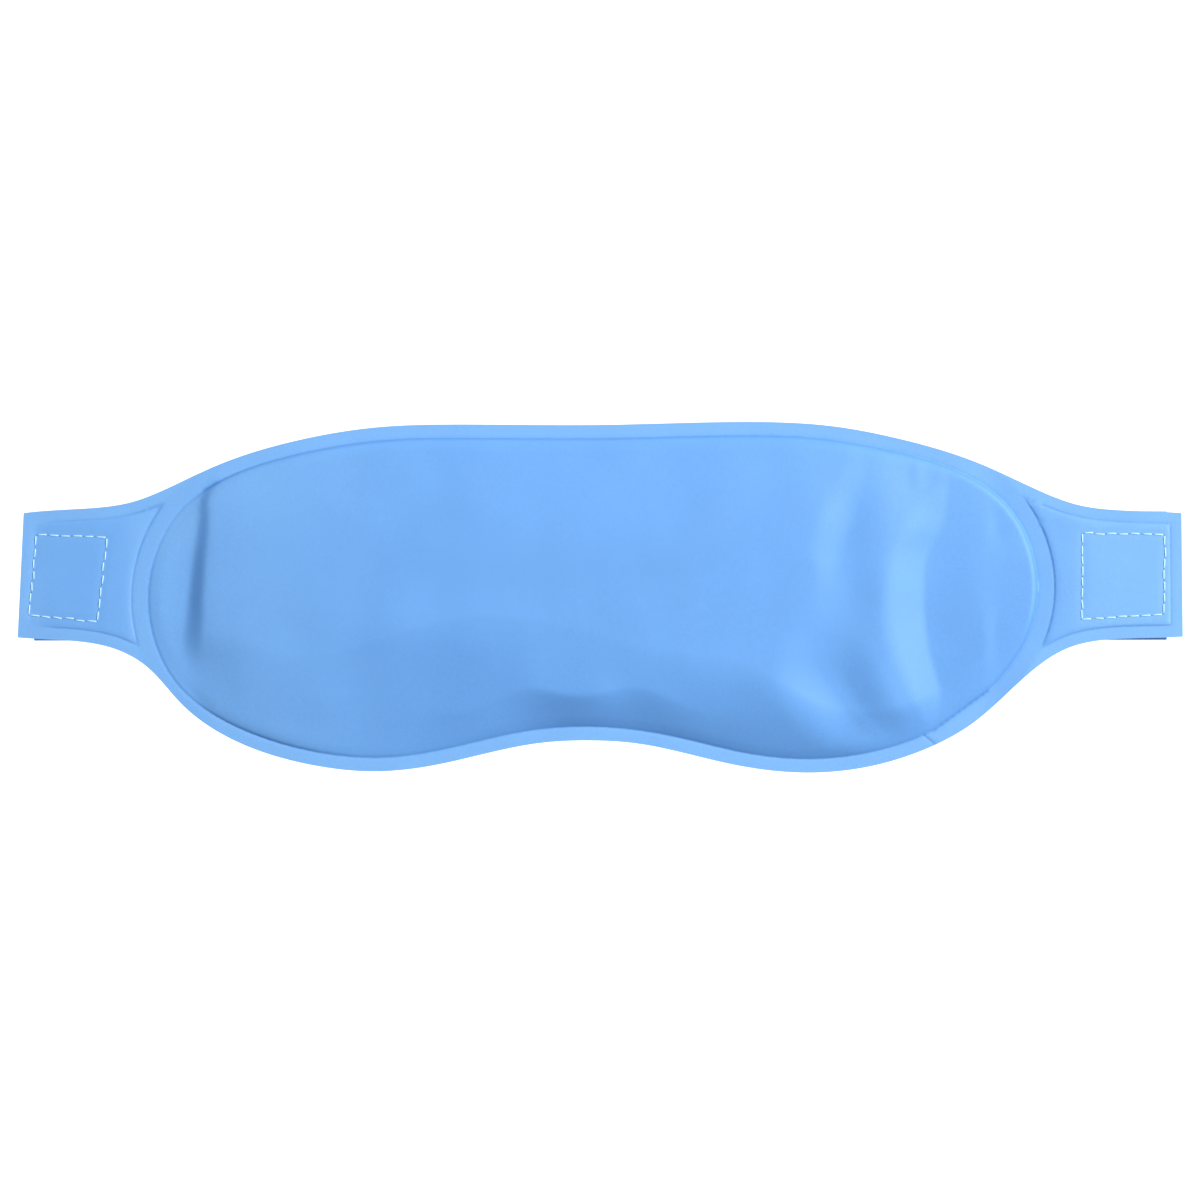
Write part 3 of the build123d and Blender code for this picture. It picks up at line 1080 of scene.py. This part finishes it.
strap, strap_length = strap_piece()
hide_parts("strap_left_end", "strap_band")
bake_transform(strap)


# ---- Hook and loop fasteners ----
def pile(name, node, body, face_z, way, shape, pitch, material, slot_name):
    """Small hooks or loops standing on the face of a fastener pad."""
    made = Joined()
    margin = 1.2
    xs = np.arange(low(node, 0) + margin, high(node, 0) - margin, pitch)
    ys = np.arange(low(node, 1) + margin, high(node, 1) - margin, pitch)
    for x in xs:
        for y in ys:
            place = np.array([x, y, face_z]) + (*random.normal(0, 0.12, 2), 0)
            path, radius = shape(random.uniform(0, 2 * pi))
            made.add(tube([place + p * (1, 1, way) for p in path], [radius] * len(path), 4))
    piece = made.piece(name, [material], slot_name)
    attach(piece, body)


def hook_shape(turn):
    """A stiff hook, bent over in the direction of turn."""
    bend = [(0, -0.02), (0.0, 0.10), (0.04, 0.19), (0.13, 0.22), (0.20, 0.16)]
    return [np.array([r * np.cos(turn), r * np.sin(turn), z]) for r, z in bend], 0.045


def loop_shape(turn):
    """A soft loop of yarn lying over to one side."""
    bend = [(-0.45, -0.02), (-0.38, 0.12), (-0.12, 0.21), (0.18, 0.19), (0.40, 0.09), (0.46, -0.02)]
    return [np.array([r * np.cos(turn), r * np.sin(turn), z]) for r, z in bend], 0.05


for side, hook_body in (("left", "left_tab"), ("right", "strap")):
    hook, loop = f"{side}_hook_pad", f"{side}_loop_patch"
    for node, material in ((hook, HOOKS), (loop, LOOPS)):
        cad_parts[node].data.materials.clear()
        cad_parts[node].data.materials.append(material)
    pile(f"{side}_hooks", hook, hook_body, high(hook, 2), 1, hook_shape, 0.85, HOOKS, "hook_tape")
    pile(f"{side}_loops", loop, f"{side}_tab", low(loop, 2), -1, loop_shape, 0.8, LOOPS, "loop_pile")


# ---- Floor, light and camera ----
# In metres. The pillow lies on the plane z = 0. The white floor that is seen is lower, so that the
# pillow throws no visible shadow.
FLOOR_Z, FLOOR_REACH = -0.28, 12.0
LAMP_FROM, LAMP_DISTANCE = (0.95, 0.5, 1.0), 2.5


def floor():
    mesh = bpy.data.meshes.new("floor")
    signs = ((-1, -1), (1, -1), (1, 1), (-1, 1))
    corners = [(x * FLOOR_REACH, y * FLOOR_REACH, FLOOR_Z) for x, y in signs]
    mesh.from_pydata(corners, [], [(0, 1, 2, 3)])
    m = Nodes("white_table")
    top = m.finish(
        Base_Color=(0.6, 0.6, 0.6, 1),
        Roughness=0.9,
        Specular_IOR_Level=0.0,
        Emission_Color=(1, 1, 1, 1),
        Emission_Strength=0.8,
    )
    # seen from below, the floor is clear
    clear = m.add("ShaderNodeBsdfTransparent").outputs[0]
    facing = m.add("ShaderNodeNewGeometry").outputs["Backfacing"]
    one_sided = m.add("ShaderNodeMixShader", {0: facing, 1: m.shader.outputs[0], 2: clear})
    out = m.tree.nodes["Material Output"]
    m.tree.links.new(one_sided.outputs[0], out.inputs["Surface"])
    mesh.materials.append(top)
    table = bpy.data.objects.new("floor", mesh)
    bpy.context.scene.collection.objects.link(table)


def lights():
    lamp = bpy.data.lights.new("key", "AREA")
    lamp.shape = "DISK"
    lamp.size = 0.8
    lamp.energy = 82.0
    lamp.color = (1.05, 1.0, 0.94)
    key = bpy.data.objects.new("key", lamp)
    direction = Vector(LAMP_FROM).normalized()
    key.location = direction * LAMP_DISTANCE
    key.rotation_euler = direction.to_track_quat("Z", "Y").to_euler()
    bpy.context.scene.collection.objects.link(key)
    world = bpy.data.worlds.new("studio")
    world.use_nodes = True
    background = world.node_tree.nodes["Background"]
    background.inputs["Color"].default_value = (0.86, 1.0, 1.13, 1)
    background.inputs["Strength"].default_value = 0.305
    bpy.context.scene.world = world


def camera():
    data = bpy.data.cameras.new("camera")
    data.lens, data.sensor_width = LENS, SENSOR
    seen = bpy.data.objects.new("camera", data)
    distance = FRAME_WIDTH * LENS / SENSOR
    seen.location = (AIM_X * MM, AIM_Y * MM, (FACE_Z + distance) * MM)
    data.clip_end = 20
    bpy.context.scene.collection.objects.link(seen)
    bpy.context.scene.camera = seen


floor()
lights()
camera()
bpy.context.scene.view_settings.view_transform = "Standard"
